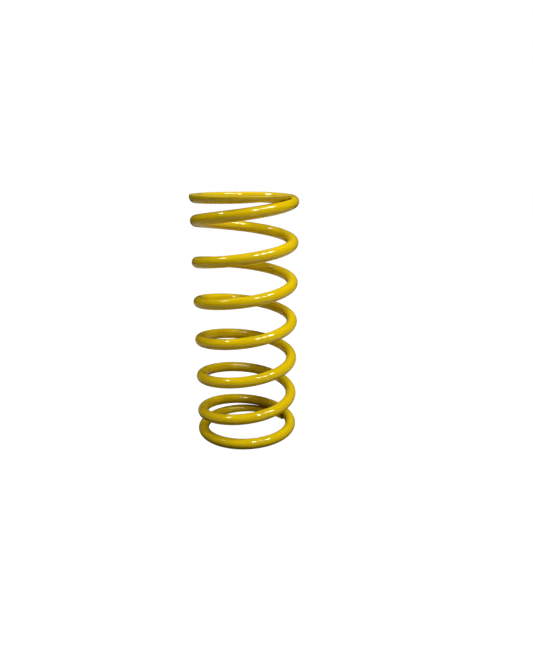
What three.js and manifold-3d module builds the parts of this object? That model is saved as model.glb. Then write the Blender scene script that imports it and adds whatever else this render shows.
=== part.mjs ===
// Helical compression spring with closed and ground ends, right-hand wound from one round wire.
//
// The wire is one piece of steel that flexes along its whole length. It is divided along its length
// into the two end coils, which stay rigid on their seats, and short stretches of the active coils,
// which close up towards the bottom seat as the spring is compressed. The cuts lie in planes through
// the spring's axis, so neighbouring stretches slide past each other without touching.
//
// Millimetres, +Z up along the axis, origin at the centre of the bottom seat plane.

import * as THREE from 'three';
import { mergeVertices } from 'three/addons/utils/BufferGeometryUtils.js';
import Module from 'manifold-3d';

const wasm = await Module();
wasm.setup();

// Driving dimensions.
const BORE = 60; // inside diameter of the coils
const WIRE = 7.8; // wire diameter
const FREE_LENGTH = 178; // between the two ground seats
const TURNS = 7.858; // from tip to tip
const TIP_ANGLE = THREE.MathUtils.degToRad(26); // the bottom tip's place, counter-clockwise from +X
const TIP_THICKNESS = WIRE / 6; // what grinding leaves of the wire at each tip

// The closed coil at each end: its own pitch, how many turns it lasts, the length of the ramp over
// which the wire turns up to the active pitch, and the gap from the tip to the coil it closes against.
const BOTTOM_END = { pitch: 6.2, turns: 1.048, ramp: 0.52, gap: 1.2 };
const TOP_END = { pitch: 5.7, turns: 0.97, ramp: 0.22, gap: 0.9 };
const TIP_BEND = 0.22; // turns at each tip that bend away from the neighbouring coil

// How the wire is divided.
const END_COIL = 1; // turns in each rigid end coil
const STRETCHES_PER_TURN = 4;
const CUT_GAP = 0.3; // between the cut faces of neighbouring stretches

// Fineness of the facets.
const SECTION_SIDES = 14;
const STEPS_PER_TURN = 32;

const COATING = { color: 0xd2b40c, roughness: 0.28, metalness: 0.0 };

const MEAN_RADIUS = (BORE + WIRE) / 2;
const WIRE_RADIUS = WIRE / 2;
const MEAN_CIRCUMFERENCE = 2 * Math.PI * MEAN_RADIUS;

// Integral from the far left of a smooth step that rises from 0 to 1 about `centre` over `width`.
function rampIntegral(turn, centre, width) {
  const t = (turn - centre) / width + 0.5;
  if (t <= 0) return 0;
  if (t >= 1) return turn - centre;
  return width * (t ** 3 - t ** 4 / 2);
}

// Turns of active pitch between the bottom tip and `turn`.
function activeTurns(turn) {
  const leftBottomEnd = rampIntegral(turn, BOTTOM_END.turns, BOTTOM_END.ramp);
  const enteredTopEnd = rampIntegral(turn, TURNS - TOP_END.turns, TOP_END.ramp);
  return leftBottomEnd - enteredTopEnd;
}

// Turns of closed pitch in each end between the bottom tip and `turn`.
function bottomEndTurns(turn) {
  return turn - rampIntegral(turn, BOTTOM_END.turns, BOTTOM_END.ramp);
}

function topEndTurns(turn) {
  return rampIntegral(turn, TURNS - TOP_END.turns, TOP_END.ramp);
}

// Rise of the wire's centre from the bottom tip to `turn`, without the bends at the tips.
function rise(turn, activePitch) {
  return (
    BOTTOM_END.pitch * bottomEndTurns(turn) +
    TOP_END.pitch * topEndTurns(turn) +
    activePitch * activeTurns(turn)
  );
}

// Each tip bends away from its neighbour by the amount that makes it clear that coil by its gap. The
// bend and the active pitch depend on each other slightly, so a few rounds settle both.
function settleShape() {
  const seatDepth = TIP_THICKNESS - WIRE_RADIUS; // the tip's centre above its own seat plane
  let pitch = (FREE_LENGTH - 2 * WIRE) / activeTurns(TURNS);
  let bottomBend = 0;
  let topBend = 0;
  for (let round = 0; round < 20; round += 1) {
    bottomBend = WIRE + BOTTOM_END.gap - rise(1, pitch);
    topBend = WIRE + TOP_END.gap - (rise(TURNS, pitch) - rise(TURNS - 1, pitch));
    const activeRise = FREE_LENGTH - 2 * seatDepth - bottomBend - topBend
      - BOTTOM_END.pitch * bottomEndTurns(TURNS)
      - TOP_END.pitch * topEndTurns(TURNS);
    pitch = activeRise / activeTurns(TURNS);
  }
  return { pitch, bottomBend, topBend, bottomStart: seatDepth + bottomBend };
}

const SHAPE = settleShape();

// Height of the wire's centre at `turn`, counted from the bottom tip.
function centreHeight(turn) {
  const bottomTip = Math.max(1 - turn / TIP_BEND, 0) ** 2;
  const topTip = Math.max(1 - (TURNS - turn) / TIP_BEND, 0) ** 2;
  return (
    SHAPE.bottomStart
    + rise(turn, SHAPE.pitch)
    - SHAPE.bottomBend * bottomTip
    + SHAPE.topBend * topTip
  );
}

// Slope of the wire against the horizontal at `turn`, as rise over run.
function centreSlope(turn) {
  const step = 1e-4;
  const low = Math.max(turn - step, 0);
  const high = Math.min(turn + step, TURNS);
  return (centreHeight(high) - centreHeight(low)) / ((high - low) * MEAN_CIRCUMFERENCE);
}

// The wire's section at `turn`, in the vertical plane through the axis. The round wire is inclined,
// so this plane cuts it as an ellipse that is a little taller than it is wide.
function sectionRing(turn) {
  const angle = TIP_ANGLE + 2 * Math.PI * turn;
  const height = centreHeight(turn);
  const halfHeight = WIRE_RADIUS * Math.sqrt(1 + centreSlope(turn) ** 2);
  const ring = [];
  for (let side = 0; side < SECTION_SIDES; side += 1) {
    const around = (2 * Math.PI * side) / SECTION_SIDES;
    const radius = MEAN_RADIUS + WIRE_RADIUS * Math.cos(around);
    const z = height + halfHeight * Math.sin(around);
    ring.push(radius * Math.cos(angle), radius * Math.sin(angle), z);
  }
  return ring;
}

// A closed solid of the wire between two turn counts.
function wireStretch(from, to) {
  const steps = Math.max(Math.round((to - from) * STEPS_PER_TURN), 2);
  const positions = [];
  for (let step = 0; step <= steps; step += 1) {
    positions.push(...sectionRing(from + ((to - from) * step) / steps));
  }
  const index = [];
  for (let step = 0; step < steps; step += 1) {
    for (let side = 0; side < SECTION_SIDES; side += 1) {
      const next = (side + 1) % SECTION_SIDES;
      const a = step * SECTION_SIDES + side;
      const b = step * SECTION_SIDES + next;
      const c = a + SECTION_SIDES;
      const d = b + SECTION_SIDES;
      index.push(a, d, b, a, c, d);
    }
  }
  const last = steps * SECTION_SIDES;
  for (let side = 1; side < SECTION_SIDES - 1; side += 1) {
    index.push(0, side, side + 1);
    index.push(last, last + side + 1, last + side);
  }
  const geometry = new THREE.BufferGeometry();
  geometry.setAttribute('position', new THREE.Float32BufferAttribute(positions, 3));
  geometry.setIndex(index);
  return geometry;
}

function toManifold(geometry) {
  const mesh = new wasm.Mesh({
    numProp: 3,
    vertProperties: new Float32Array(geometry.getAttribute('position').array),
    triVerts: new Uint32Array(geometry.getIndex().array),
  });
  return new wasm.Manifold(mesh);
}

function toGeometry(manifold) {
  const mesh = manifold.getMesh();
  const geometry = new THREE.BufferGeometry();
  geometry.setAttribute('position', new THREE.BufferAttribute(mesh.vertProperties, 3));
  geometry.setIndex(new THREE.BufferAttribute(mesh.triVerts, 1));
  return geometry;
}

// What the grinding wheel takes off below z = 0 or above the free length.
function groundAway(lowest, highest) {
  const width = 4 * MEAN_RADIUS;
  const box = new THREE.BoxGeometry(width, width, highest - lowest);
  box.translate(0, 0, (lowest + highest) / 2);
  box.deleteAttribute('normal');
  box.deleteAttribute('uv');
  return toManifold(mergeVertices(box));
}

function addNode(group, name, geometry) {
  geometry.computeVertexNormals();
  const material = new THREE.MeshStandardMaterial(COATING);
  const mesh = new THREE.Mesh(geometry, material);
  mesh.name = name;
  group.add(mesh);
}

const HALF_CUT = CUT_GAP / 2 / MEAN_CIRCUMFERENCE; // turns

function buildEndCoils(group) {
  const bottom = toManifold(wireStretch(0, END_COIL - HALF_CUT));
  const belowSeat = groundAway(-WIRE, 0);
  addNode(group, 'bottom_end_coil', toGeometry(bottom.subtract(belowSeat)));

  const top = toManifold(wireStretch(TURNS - END_COIL + HALF_CUT, TURNS));
  const aboveSeat = groundAway(FREE_LENGTH, FREE_LENGTH + WIRE);
  addNode(group, 'top_end_coil', toGeometry(top.subtract(aboveSeat)));
}

// The cuts lie above one another from turn to turn, so that no stretch reaches the one below it
// when the spring closes up. The last stretch is what is left below the top end coil.
function buildActiveCoils(group) {
  const topCut = TURNS - END_COIL;
  const count = Math.ceil((topCut - END_COIL) * STRETCHES_PER_TURN);
  for (let stretch = 0; stretch < count; stretch += 1) {
    const from = END_COIL + stretch / STRETCHES_PER_TURN;
    const to = Math.min(from + 1 / STRETCHES_PER_TURN, topCut);
    const coil = Math.floor(stretch / STRETCHES_PER_TURN) + 1;
    const quarter = (stretch % STRETCHES_PER_TURN) + 1;
    const name = `active_coil_${coil}_quarter_${quarter}`;
    addNode(group, name, wireStretch(from + HALF_CUT, to - HALF_CUT));
  }
}

const spring = new THREE.Group();
buildEndCoils(spring);
buildActiveCoils(spring);

export default spring;
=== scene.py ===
"""Helical compression spring with closed and ground ends: its fine wire, coating and studio.

Metres, +Z up along the spring's axis, origin at the centre of the bottom seat plane.
"""

import math

import bpy
import numpy as np
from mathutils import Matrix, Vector, noise


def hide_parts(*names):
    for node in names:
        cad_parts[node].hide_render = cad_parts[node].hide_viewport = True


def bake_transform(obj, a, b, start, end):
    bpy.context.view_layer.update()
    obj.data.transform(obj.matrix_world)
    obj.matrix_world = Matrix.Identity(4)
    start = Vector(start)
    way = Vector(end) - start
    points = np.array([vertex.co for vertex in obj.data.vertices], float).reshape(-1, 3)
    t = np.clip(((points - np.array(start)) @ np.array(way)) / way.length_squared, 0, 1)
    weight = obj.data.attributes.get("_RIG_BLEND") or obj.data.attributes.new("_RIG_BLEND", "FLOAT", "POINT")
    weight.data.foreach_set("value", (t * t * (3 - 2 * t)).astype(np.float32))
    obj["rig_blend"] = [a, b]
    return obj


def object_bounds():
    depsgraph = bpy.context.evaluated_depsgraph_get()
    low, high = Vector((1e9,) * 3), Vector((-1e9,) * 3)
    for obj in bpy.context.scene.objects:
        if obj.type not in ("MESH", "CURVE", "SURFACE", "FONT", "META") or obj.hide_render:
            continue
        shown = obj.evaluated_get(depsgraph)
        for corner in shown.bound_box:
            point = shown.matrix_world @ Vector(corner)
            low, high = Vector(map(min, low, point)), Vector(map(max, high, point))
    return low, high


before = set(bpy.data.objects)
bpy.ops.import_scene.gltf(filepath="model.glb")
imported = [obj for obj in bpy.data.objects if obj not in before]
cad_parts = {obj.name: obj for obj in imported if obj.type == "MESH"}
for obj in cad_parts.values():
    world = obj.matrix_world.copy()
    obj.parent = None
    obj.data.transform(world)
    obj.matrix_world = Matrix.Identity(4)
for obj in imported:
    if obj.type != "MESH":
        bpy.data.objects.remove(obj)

CAD_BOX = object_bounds()

# Driving dimensions of the wire.
BORE = 0.060
WIRE = 0.0078
FREE_LENGTH = CAD_BOX[1].z - CAD_BOX[0].z
TURNS = 7.858
TIP_ANGLE = math.radians(26)  # the bottom tip's place, counter-clockwise from +X
TIP_THICKNESS = WIRE / 6  # what grinding leaves of the wire at each tip
COIL_GAP = 0.0004  # between the turns when the spring is fully closed

# The closed coil at each end: its pitch, how many turns it lasts, the ramp up to active pitch, and
# the gap from the tip to the coil it closes against.
BOTTOM_END = {"pitch": 0.0062, "turns": 1.048, "ramp": 0.52, "gap": 0.0012}
TOP_END = {"pitch": 0.0057, "turns": 0.97, "ramp": 0.22, "gap": 0.0009}
TIP_BEND = 0.22  # turns at each tip that bend away from the neighbouring coil
END_COIL = 1  # turns at each end that stay rigid on their seat

# Fineness of the mesh.
RINGS_PER_TURN = 160
FLAT_STEPS = (0.0, 0.35, 0.7, 0.93, 1.0)  # points from the middle of a ground flat to its corner
CORNER_STEPS = 5  # points round the broken edge of a ground flat
SIDE_STEPS = 12  # steps between the lower and the upper sector of the section
EDGE_BREAK = 0.00035  # radius of the edges of the ground flats and of the tips
EDGE_STEPS = 4  # rings round the broken edge of each tip

MEAN_RADIUS = (BORE + WIRE) / 2
WIRE_RADIUS = WIRE / 2
MEAN_CIRCUMFERENCE = 2 * math.pi * MEAN_RADIUS


# --- the wire's centre line -----------------------------------------------------------------------

SETTLING_ROUNDS = 20


def ramp_integral(turn, centre, width):
    """Integral from the far left of a smooth step that rises from 0 to 1 about centre."""
    t = (turn - centre) / width + 0.5
    inside = np.clip(t, 0, 1)
    return np.where(t >= 1, turn - centre, width * (inside ** 3 - inside ** 4 / 2))


def rise(turn, active_pitch):
    """Rise of the wire's centre from the bottom tip, without the bends at the tips."""
    left_bottom = ramp_integral(turn, BOTTOM_END["turns"], BOTTOM_END["ramp"])
    entered_top = ramp_integral(turn, TURNS - TOP_END["turns"], TOP_END["ramp"])
    return (
        BOTTOM_END["pitch"] * (turn - left_bottom)
        + TOP_END["pitch"] * entered_top
        + active_pitch * (left_bottom - entered_top)
    )


def settle_shape():
    """Active pitch, the tips' bends that clear the gaps, and the height where the wire starts.

    The pitch and the bends depend on each other, so they are worked out in turn until they settle.
    """
    seat_depth = TIP_THICKNESS - WIRE_RADIUS
    closed = rise(TURNS, 0.0)
    active_turns = rise(TURNS, 1.0) - closed
    pitch = (FREE_LENGTH - 2 * WIRE) / active_turns
    for _ in range(SETTLING_ROUNDS):
        bottom_bend = WIRE + BOTTOM_END["gap"] - rise(1, pitch)
        top_bend = WIRE + TOP_END["gap"] - (rise(TURNS, pitch) - rise(TURNS - 1, pitch))
        pitch = (FREE_LENGTH - 2 * seat_depth - bottom_bend - top_bend - closed) / active_turns
    return pitch, bottom_bend, top_bend, seat_depth + bottom_bend


PITCH, BOTTOM_BEND, TOP_BEND, BOTTOM_START = settle_shape()


def centre_height(turn):
    bottom_tip = np.maximum(1 - turn / TIP_BEND, 0) ** 2
    top_tip = np.maximum(1 - (TURNS - turn) / TIP_BEND, 0) ** 2
    return BOTTOM_START + rise(turn, PITCH) - BOTTOM_BEND * bottom_tip + TOP_BEND * top_tip


def travel_share(turn):
    """How far this place on the wire moves as the top end coil moves by one.

    The wire goes in a straight line from its free shape to its fully closed one, in which each turn
    lies a wire and a gap above the last. Both ends keep their own shape, so each closed turn
    changes from the bottom end coil's shape to the top one's on the way up.
    """
    closed_pitch = WIRE + COIL_GAP
    active = np.clip(turn, END_COIL, TURNS - END_COIL)
    above_bottom = np.mod(active - END_COIL, 1)
    below_top = np.mod(TURNS - END_COIL - active, 1)
    like_bottom = centre_height(above_bottom) - centre_height(0) - closed_pitch * above_bottom
    like_top = centre_height(TURNS) - centre_height(TURNS - below_top) - closed_pitch * below_top
    way_up = (active - END_COIL) / (TURNS - 2 * END_COIL)
    closed_height = (
        centre_height(END_COIL)
        + closed_pitch * (active - END_COIL)
        + (1 - way_up) * like_bottom
        - way_up * like_top
    )
    free_rise = centre_height(TURNS - END_COIL) - centre_height(END_COIL)
    full_travel = free_rise - closed_pitch * (TURNS - 2 * END_COIL)
    share = (centre_height(active) - closed_height) / full_travel
    share = np.where(turn <= END_COIL, 0, share)
    return np.where(turn >= TURNS - END_COIL, 1, share)


# --- the wire's section ---------------------------------------------------------------------------

UNCUT_SECTOR = math.radians(50)  # half of the lower or upper sector where the wire is round
NARROW_SECTOR = math.radians(12)  # half of that sector just before the ground flat starts
SECTOR_RAMP = 0.6  # turns over which the one becomes the other
SLOPE_STEP = 1e-4  # turns to either side between which the wire's slope is measured


def smooth(x):
    t = np.clip(x, 0, 1)
    return t * t * (3 - 2 * t)


def cut_sector(depth):
    """Half-angle of the sector that a seat plane cuts off, `depth` from the wire's centre."""
    inner = WIRE_RADIUS - EDGE_BREAK
    half_flat = np.sqrt(np.maximum(inner ** 2 - (depth - EDGE_BREAK) ** 2, 0))
    return np.where(depth < WIRE_RADIUS, np.arctan2(half_flat, depth - EDGE_BREAK), 0)


def sector_profile(depth, sector):
    """Points from the middle of a sector to its edge: across, and towards the seat plane.

    Where the plane cuts the whole sector away they follow the flat and its broken edge. Where it
    doesn't reach the sector's edge they follow the round wire, no further than the plane.
    """
    inner = WIRE_RADIUS - EDGE_BREAK
    half_flat = (inner * np.sin(sector))[:, None]
    turned = sector[:, None] * np.arange(1, CORNER_STEPS + 1) / CORNER_STEPS
    flat_across = half_flat * np.array(FLAT_STEPS)
    corner_across = half_flat + EDGE_BREAK * np.sin(turned)
    across = np.hstack([flat_across, corner_across])
    flat_towards = np.repeat(depth[:, None], len(FLAT_STEPS), axis=1)
    corner_towards = (depth - EDGE_BREAK)[:, None] + EDGE_BREAK * np.cos(turned)
    ground = np.hstack([flat_towards, corner_towards])
    round_wire = np.sqrt(np.maximum(WIRE_RADIUS ** 2 - across ** 2, 0))
    is_cut = (cut_sector(depth) >= sector)[:, None]
    return across, np.where(is_cut, ground, np.minimum(round_wire, depth[:, None]))


def sections(turn):
    """Section of the wire at each turn, in the vertical plane through the axis.

    Returns radius and height of each point. The round wire is inclined, so that plane cuts it as
    an ellipse that is a little taller than it is wide.
    """
    height = centre_height(turn)
    low, high = np.maximum(turn - SLOPE_STEP, 0), np.minimum(turn + SLOPE_STEP, TURNS)
    slope = (centre_height(high) - centre_height(low)) / ((high - low) * MEAN_CIRCUMFERENCE)
    stretch = np.sqrt(1 + slope ** 2)

    below = height / stretch  # from the centre down to the bottom seat plane
    above = (FREE_LENGTH - height) / stretch
    cut_below, cut_above = cut_sector(below), cut_sector(above)
    bottom_flat_end = turn[cut_below > 0].max()
    top_flat_start = turn[cut_above > 0].min()
    widening = UNCUT_SECTOR - NARROW_SECTOR
    rest_below = NARROW_SECTOR + widening * smooth((turn - bottom_flat_end) / SECTOR_RAMP)
    rest_above = NARROW_SECTOR + widening * smooth((top_flat_start - turn) / SECTOR_RAMP)
    # A flat that cuts past the middle of the wire leaves less room for the sector across from it.
    rest_below -= np.maximum(cut_above - math.pi / 2, 0) / 2
    rest_above -= np.maximum(cut_below - math.pi / 2, 0) / 2
    lower = np.maximum(cut_below, rest_below)
    upper = np.maximum(cut_above, rest_above)

    lower_across, lower_down = sector_profile(below, lower)
    upper_across, upper_up = sector_profile(above, upper)
    along_side = np.arange(1, SIDE_STEPS) / SIDE_STEPS
    around = lower[:, None] + (math.pi - upper - lower)[:, None] * along_side
    across = np.hstack([lower_across, WIRE_RADIUS * np.sin(around), upper_across[:, ::-1]])
    up = np.hstack([-lower_down, -WIRE_RADIUS * np.cos(around), upper_up[:, ::-1]])
    across = np.hstack([across, -across[:, -2:0:-1]])
    up = np.hstack([up, up[:, -2:0:-1]])
    return across, height[:, None] + up * stretch[:, None]


def wire_rings():
    """Turn and inset of every ring, from the bottom tip's rounded edge to the top tip's."""
    edge = EDGE_BREAK / MEAN_CIRCUMFERENCE
    count = round(TURNS * RINGS_PER_TURN)
    body = np.linspace(edge, TURNS - edge, count)
    bend = np.radians(90 * np.arange(1, EDGE_STEPS + 1) / EDGE_STEPS)
    turn = np.concatenate([
        (edge - edge * np.sin(bend))[::-1],
        body,
        TURNS - edge + edge * np.sin(bend),
    ])
    inset = EDGE_BREAK * (1 - np.cos(bend))
    inset = np.concatenate([inset[::-1], np.zeros(count), inset])
    return turn, inset


# --- the wire -------------------------------------------------------------------------------------

WAVE_HEIGHT = 0.000012  # of the coating's slow waves
WAVE_LENGTH = 0.0045
SEAT_MARGIN = 0.00002  # what lies this close to a seat plane belongs to the ground flat


def inset_rings(across, height, inset):
    """Draw in the rings at the tips, which rounds their edges. Also gives each ring's middle."""
    middle = (height.max(axis=1) + height.min(axis=1))[:, None] / 2
    half_width = np.abs(across).max(axis=1)[:, None]
    half_height = height.max(axis=1)[:, None] - middle
    across = across * (1 - inset[:, None] / half_width)
    height = middle + (height - middle) * (1 - inset[:, None] / half_height)
    return across, height, middle


def around_axis(angle, radius, height):
    return np.stack([radius * np.cos(angle), radius * np.sin(angle), height], axis=2)


def tube_faces(rings, sides):
    """Faces of the wall, ring by ring, then the fans that close the two tips."""
    faces = []
    for ring in range(rings - 1):
        start = ring * sides
        for side in range(sides):
            near, far = start + side, start + (side + 1) % sides
            faces.append((near, near + sides, far + sides, far))
    first_tip, last_tip = rings * sides, rings * sides + 1
    last = (rings - 1) * sides
    for side in range(sides):
        following = (side + 1) % sides
        faces.append((side, following, first_tip))
        faces.append((last + following, last + side, last_tip))
    return faces


def seat_faces(height):
    """1 for each face of the wall that lies in a seat plane, else 0, ring by ring."""
    on_seat = (height < SEAT_MARGIN) | (height > FREE_LENGTH - SEAT_MARGIN)
    both_sides = on_seat & np.roll(on_seat, -1, axis=1)
    both_rings = both_sides[:-1] & both_sides[1:]
    return both_rings.astype(int).ravel().tolist()


def coating_waves(points, normals):
    """The coating has levelled in slow, shallow waves. The ground flats stay true."""
    for i, (point, normal) in enumerate(zip(points, normals)):
        if EDGE_BREAK < point[2] < FREE_LENGTH - EDGE_BREAK:
            wave = noise.noise(Vector(point) / WAVE_LENGTH)
            points[i] = point + normal * (WAVE_HEIGHT * wave)
    return points


def build_wire():
    """The wire from tip to tip, and the share of the travel that each of its vertices makes."""
    turn, inset = wire_rings()
    across, height, middle = inset_rings(*sections(turn), inset)
    angle = (TIP_ANGLE + 2 * math.pi * turn)[:, None]
    walls = around_axis(angle, MEAN_RADIUS + across, height)
    tips = around_axis(angle, MEAN_RADIUS, middle)[[0, -1], 0]
    vertices = np.vstack([walls.reshape(-1, 3), tips])
    rings, sides = across.shape

    mesh = bpy.data.meshes.new("spring_wire")
    mesh.from_pydata(vertices.tolist(), [], tube_faces(rings, sides))
    mesh.update()
    normals = np.array([vertex.normal for vertex in mesh.vertices])
    mesh.vertices.foreach_set("co", coating_waves(vertices, normals).ravel())
    mesh.update()
    mesh.materials.append(yellow_coating())
    mesh.materials.append(coated_seat())
    mesh.polygons.foreach_set("material_index", seat_faces(height) + [0] * (2 * sides))
    mesh.polygons.foreach_set("use_smooth", [True] * len(mesh.polygons))
    wire = bpy.data.objects.new("spring_wire", mesh)
    bpy.context.scene.collection.objects.link(wire)
    wire_share = np.append(np.repeat(travel_share(turn), sides), [0.0, 1.0])
    return wire, wire_share


def follow_compression(wire, share):
    """The wire shortens along its whole length as the top end coil comes down.

    Its own weights follow the height, so they are replaced by each place's share of the travel.
    """
    bottom = Vector((0, 0, 0))
    top = Vector((0, 0, FREE_LENGTH))
    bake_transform(wire, "bottom_end_coil", "top_end_coil", start=bottom, end=top)
    weights = wire.data.attributes["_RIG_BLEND"]
    weights.data.foreach_set("value", share.astype(np.float32))


# --- shader nodes ---------------------------------------------------------------------------------

WHITE = (1, 1, 1, 1)


def fill(tree, node, inputs):
    """Set a node's inputs, each to a value or to another node's output."""
    for name, value in inputs.items():
        if isinstance(value, bpy.types.NodeSocket):
            tree.links.new(value, node.inputs[name])
        else:
            node.inputs[name].default_value = value
    return node


def add_node(tree, kind, inputs):
    return fill(tree, tree.nodes.new(kind), inputs)


def new_material(name):
    material = bpy.data.materials.new(name)
    material.use_nodes = True
    tree = material.node_tree
    return material, tree, tree.nodes["Principled BSDF"]


def object_place(tree):
    return tree.nodes.new("ShaderNodeTexCoord").outputs["Object"]


def noise_texture(tree, place, pattern):
    inputs = {"Vector": place, "Scale": pattern["scale"], "Detail": pattern["detail"]}
    return add_node(tree, "ShaderNodeTexNoise", inputs).outputs["Fac"]


def colour_ramp(tree, factor, tones, interpolation="LINEAR"):
    ramp = add_node(tree, "ShaderNodeValToRGB", {"Fac": factor})
    ramp.color_ramp.interpolation = interpolation
    for _ in tones[2:]:
        ramp.color_ramp.elements.new(0.5)
    for element, (position, colour) in zip(ramp.color_ramp.elements, tones):
        element.position = position
        element.color = (*colour, 1)
    return ramp.outputs["Color"]


def relief(tree, height, depth):
    inputs = {"Height": height, "Distance": depth, "Strength": 1.0}
    return add_node(tree, "ShaderNodeBump", inputs).outputs["Normal"]


# --- the coating ----------------------------------------------------------------------------------

# Patterns of noise: features to the metre, and how many finer octaves they have.
TINT = {"scale": 60, "detail": 3}
CLOUDS = {"scale": 500, "detail": 2}
PEEL = {"scale": 330, "detail": 2}
MARKS = {"scale": 900, "detail": 4}
# Yellows by the value of the pattern that they follow.
WIRE_YELLOWS = ((0.3, (0.79, 0.550, 0.0008)), (0.7, (0.85, 0.595, 0.0012)))
SEAT_YELLOWS = ((0.35, (0.52, 0.38, 0.03)), (0.65, (0.60, 0.45, 0.05)))
WIRE_ROUGHNESS = (0.01, 0.03)
SEAT_ROUGHNESS = 0.45
WIRE_IOR = 1.58
SEAT_IOR = 1.5
PEEL_DEPTH = 0.00003
MARK_DEPTH = 0.00002
MARK_STRETCH = (0.12, 1, 1)  # the grinding marks run along X


def yellow_coating():
    """Thick glossy paint: a slightly uneven yellow with a fine orange peel."""
    material, tree, shader = new_material("yellow_coating")
    place = object_place(tree)
    tint = noise_texture(tree, place, TINT)
    cloud = noise_texture(tree, place, CLOUDS)
    peel = noise_texture(tree, place, PEEL)
    clear, cloudy = WIRE_ROUGHNESS
    gloss = add_node(tree, "ShaderNodeMapRange", {
        "Value": cloud,
        "To Min": clear,
        "To Max": cloudy,
    })
    fill(tree, shader, {
        "Base Color": colour_ramp(tree, tint, WIRE_YELLOWS),
        "Roughness": gloss.outputs["Result"],
        "IOR": WIRE_IOR,
        "Normal": relief(tree, peel, PEEL_DEPTH),
    })
    return material


def coated_seat():
    """The ground flats under the coating: duller, where the grinding marks show through."""
    material, tree, shader = new_material("coated_seat")
    stretched = add_node(tree, "ShaderNodeMapping", {
        "Vector": object_place(tree),
        "Scale": MARK_STRETCH,
    })
    marks = noise_texture(tree, stretched.outputs["Vector"], MARKS)
    fill(tree, shader, {
        "Base Color": colour_ramp(tree, marks, SEAT_YELLOWS),
        "Roughness": SEAT_ROUGHNESS,
        "IOR": SEAT_IOR,
        "Normal": relief(tree, marks, MARK_DEPTH),
    })
    return material


# --- the studio -----------------------------------------------------------------------------------

# The camera stands in front of the spring at about the height of its top, tilted down at it.
CAMERA_BACK = 11.45 * MEAN_RADIUS
CAMERA_HEIGHT = 5.75 * MEAN_RADIUS
CAMERA_TILT = math.radians(18.65)
CAMERA_TURN = math.radians(2.26)  # to the right
SENSOR = 36
LENS = 30.3
SHIFT_UP = 0.0442
CLIP_START = 0.01

FLOOR_SIZE = 12.0
FLOOR_GAP = 0.0002  # the floor lies just under the seat, and the table top just under the floor
FLOOR_TONE = (0.1, 0.1, 0.1, 1)
FLOOR_GLOW = 0.99
TABLE_SIZE = 1.2
# Warm grey of the table top by distance from the axis: painted shade under the spring, dark far out.
TABLE_TONES_WITH_PAINTED_SHADE = (
    (0.045, (0.08, 0.07, 0.05)),
    (0.16, (0.54, 0.49, 0.38)),
    (0.42, (0.54, 0.49, 0.38)),
    (0.60, (0.05, 0.045, 0.04)),
)

WALL_LIGHT = 0.02
CEILING_LIGHT = 0.07
CEILING_START = 0.3  # height of a ray's direction at which the wall begins to turn into ceiling

LAMP_DISTANCE = 1.2
LAMP_AIM = Vector((0, 0, FREE_LENGTH / 2))
WATTS_PER_RADIANCE = 4  # per square metre of a lamp
# Azimuth, elevation, width, height (degrees) and radiance of each lamp: a window of three panes at
# the upper right, and two narrow lamps at the left.
LAMPS = (
    (21, 57, 6, 11, 37.5),
    (44, 59, 5, 9, 33.0),
    (67, 57, 8, 11, 39.0),
    (-91, 56, 13, 5, 24.0),
    (-118, 62, 10, 8, 10.0),
)


def build_camera():
    data = bpy.data.cameras.new("camera")
    camera = bpy.data.objects.new("camera", data)
    bpy.context.scene.collection.objects.link(camera)
    camera.location = (0, -CAMERA_BACK, CAMERA_HEIGHT)
    camera.rotation_euler = (math.pi / 2 - CAMERA_TILT, 0, -CAMERA_TURN)
    data.sensor_width = SENSOR
    data.lens = LENS
    data.shift_y = SHIFT_UP
    data.clip_start = CLIP_START
    bpy.context.scene.camera = camera


def add_plane(name, size, height):
    half = size / 2
    mesh = bpy.data.meshes.new(name)
    corners = [(-half, -half, 0), (half, -half, 0), (half, half, 0), (-half, half, 0)]
    mesh.from_pydata(corners, [], [(0, 1, 2, 3)])
    plane = bpy.data.objects.new(name, mesh)
    bpy.context.scene.collection.objects.link(plane)
    plane.location.z = height
    material, tree, shader = new_material(name)
    fill(tree, shader, {"Roughness": 1.0, "Specular IOR Level": 0.0})
    mesh.materials.append(material)
    return plane, tree, shader


def build_floor():
    """A nearly white floor for the eye, which neither shades nor lights the wire."""
    floor, tree, shader = add_plane("floor", FLOOR_SIZE, -FLOOR_GAP)
    fill(tree, shader, {
        "Base Color": FLOOR_TONE,
        "Emission Color": WHITE,
        "Emission Strength": FLOOR_GLOW,
    })
    floor.visible_diffuse = False
    floor.visible_glossy = False
    floor.visible_shadow = False


def build_table():
    """The table top that lights the wire from below, with shade painted into its colour under the spring.
    The camera doesn't see it.
    """
    table, tree, shader = add_plane("table", TABLE_SIZE, -2 * FLOOR_GAP)
    from_axis = add_node(tree, "ShaderNodeVectorMath", {0: object_place(tree)})
    from_axis.operation = "LENGTH"
    # the ramp paints shade into the table's colour under the spring
    tones = colour_ramp(tree, from_axis.outputs["Value"], TABLE_TONES_WITH_PAINTED_SHADE, "EASE")
    fill(tree, shader, {"Base Color": tones})
    table.visible_camera = False


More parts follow.
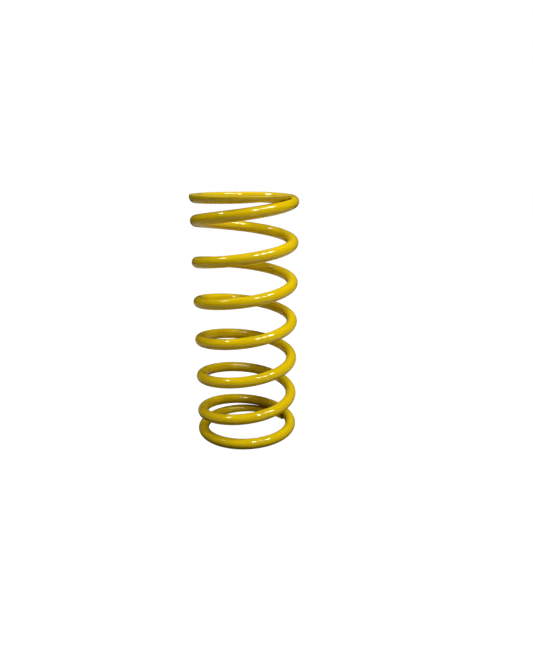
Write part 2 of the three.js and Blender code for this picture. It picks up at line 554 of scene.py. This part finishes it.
def build_world():
    """A dark room with a dim ceiling, and white behind everything that the camera sees."""
    world = bpy.data.worlds.new("studio")
    bpy.context.scene.world = world
    world.use_nodes = True
    tree = world.node_tree
    tree.nodes.clear()
    ray = tree.nodes.new("ShaderNodeTexCoord").outputs["Generated"]
    ceiling = add_node(tree, "ShaderNodeMapRange", {
        "Value": add_node(tree, "ShaderNodeSeparateXYZ", {"Vector": ray}).outputs["Z"],
        "From Min": CEILING_START,
        "From Max": 1.0,
        "To Min": WALL_LIGHT,
        "To Max": CEILING_LIGHT,
    })
    ceiling.interpolation_type = "SMOOTHSTEP"
    room = add_node(tree, "ShaderNodeBackground", {
        "Color": WHITE,
        "Strength": ceiling.outputs["Result"],
    })
    behind = add_node(tree, "ShaderNodeBackground", {"Color": WHITE})
    path = tree.nodes.new("ShaderNodeLightPath")
    mix = add_node(tree, "ShaderNodeMixShader", {
        0: path.outputs["Is Camera Ray"],
        1: room.outputs[0],
        2: behind.outputs[0],
    })
    add_node(tree, "ShaderNodeOutputWorld", {"Surface": mix.outputs[0]})


def direction(azimuth, elevation):
    """Azimuth 0 is the camera's side, 90 is to its right. Degrees."""
    a, e = math.radians(azimuth), math.radians(elevation)
    return Vector((math.sin(a) * math.cos(e), -math.cos(a) * math.cos(e), math.sin(e)))


def add_lamp(azimuth, elevation, width, height, radiance):
    """A rectangular lamp aimed at the spring. Width and height are the angles it fills there."""
    ahead = direction(azimuth, elevation)
    data = bpy.data.lights.new("lamp", "AREA")
    data.shape = "RECTANGLE"
    data.size = 2 * LAMP_DISTANCE * math.tan(math.radians(width / 2))
    data.size_y = 2 * LAMP_DISTANCE * math.tan(math.radians(height / 2))
    data.energy = radiance * WATTS_PER_RADIANCE * data.size * data.size_y
    lamp = bpy.data.objects.new("lamp", data)
    bpy.context.scene.collection.objects.link(lamp)
    lamp.location = LAMP_AIM + ahead * LAMP_DISTANCE
    lamp.rotation_euler = ahead.to_track_quat("Z", "Y").to_euler()
    lamp.visible_camera = False


def build_studio():
    build_camera()
    build_floor()
    build_table()
    build_world()
    for lamp in LAMPS:
        add_lamp(*lamp)
    bpy.context.scene.view_settings.view_transform = "Standard"


wire, share = build_wire()
follow_compression(wire, share)
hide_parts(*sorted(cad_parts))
build_studio()
